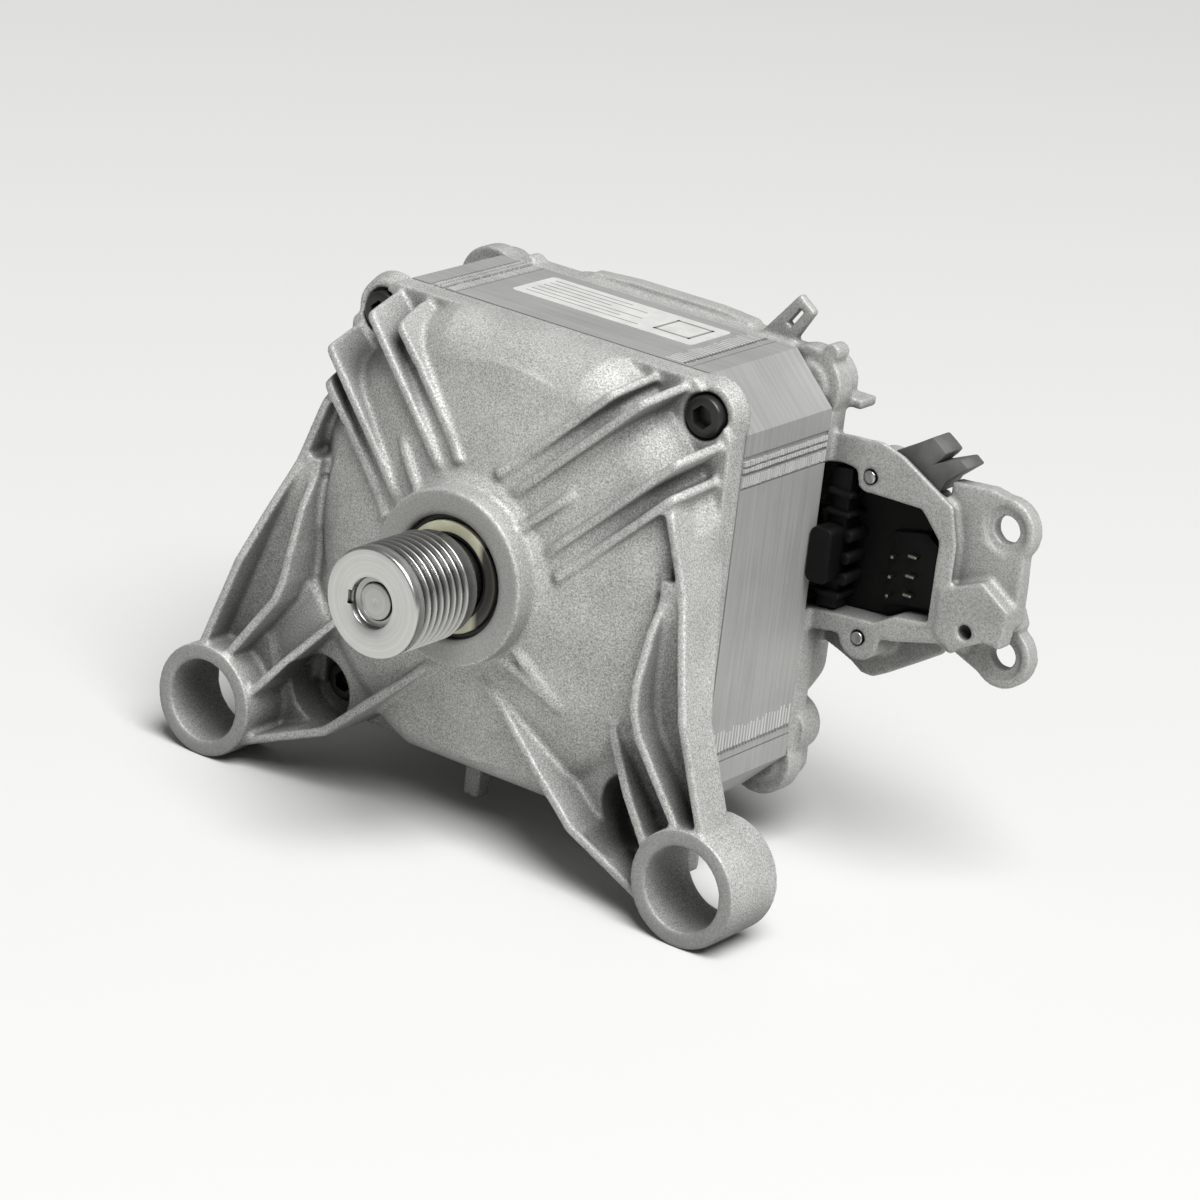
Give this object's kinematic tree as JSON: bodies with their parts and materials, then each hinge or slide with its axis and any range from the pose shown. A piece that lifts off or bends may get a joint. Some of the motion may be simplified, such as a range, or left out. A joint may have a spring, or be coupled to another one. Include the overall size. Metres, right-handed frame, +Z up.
{
  "type": "washing machine motor",
  "caption": "Belt drive motor for a washing machine: laminated stator between two ribbed die cast shields, two fixing eyes, grooved pulley and side connector box.",
  "frame": {"origin": "on the shaft axis at the middle of the drive pulley, the belt plane", "axes": "+Y along the shaft from the pulley into the motor, +Z up, +X towards the connector box"},
  "size_m": [0.2002, 0.1371, 0.1386],
  "materials": {
    "cast_aluminium": "die cast, blasted",
    "machined_aluminium": "machined",
    "stator_steel": "stacked electrical steel sheet, bare",
    "bright_steel": "turned",
    "bearing_steel": "ground",
    "black_oxide": "black oxide",
    "copper_enamel": "enamelled copper wire",
    "slot_paper": "insulating paper",
    "black_plastic": "glass filled, matt",
    "grey_plastic": "moulded, matt",
    "pale_plastic": "moulded, matt",
    "black_rubber": "matt",
    "brass_pin": "tinned",
    "ferrite": "plastic bonded magnet",
    "spring_steel": "spring steel"
  },
  "bodies": {
    "stator_assembly": {"front_shield": "cast_aluminium", "rear_shield": "cast_aluminium", "stator_core": "stator_steel", "slot_liners": "slot_paper", "stator_windings": "copper_enamel", "phase_leads": "black_plastic", "thermal_cutout": "black_plastic", "corner_bolts": "black_oxide", "front_outer_race": "bearing_steel", "front_bearing_seals": "black_rubber", "rear_outer_race": "bearing_steel", "rear_bearing_seals": "black_rubber", "bearing_circlip": "spring_steel", "wave_spring": "spring_steel", "retainer_ring": "pale_plastic", "dust_seal": "black_rubber", "terminal_housing": "black_plastic", "power_terminals": "brass_pin", "signal_terminals": "brass_pin", "connector_screws": "bright_steel", "cable_clip": "grey_plastic", "tacho_coil": "copper_enamel", "tacho_cover": "black_plastic", "tacho_screws": "bright_steel"},
    "rotor": {"rotor_shaft": "bright_steel", "drive_pulley": "bright_steel", "spacer_sleeve": "bright_steel", "front_inner_race": "bearing_steel", "rear_inner_race": "bearing_steel", "rotor_core": "stator_steel", "rotor_cage": "machined_aluminium", "tacho_magnet": "ferrite"},
    "front_ball_set": {"front_balls": "bearing_steel", "front_cage": "grey_plastic"},
    "rear_ball_set": {"rear_balls": "bearing_steel", "rear_cage": "grey_plastic"}
  },
  "joints": [
    {"name": "rotor_spin", "type": "hinge", "parent": "stator_assembly", "child": "rotor", "pos_m": [0, 0, 0], "axis": [0, 1, 0], "continuous": true},
    {"name": "front_balls_roll", "type": "hinge", "parent": "stator_assembly", "child": "front_ball_set", "pos_m": [0, 0, 0], "axis": [0, 1, 0], "continuous": true},
    {"name": "rear_balls_roll", "type": "hinge", "parent": "stator_assembly", "child": "rear_ball_set", "pos_m": [0, 0, 0], "axis": [0, 1, 0], "continuous": true}
  ],
  "couplings": [
    {"joint": "front_balls_roll", "follows": "rotor_spin", "ratio": 0.381},
    {"joint": "rear_balls_roll", "follows": "rotor_spin", "ratio": 0.3648}
  ]
}
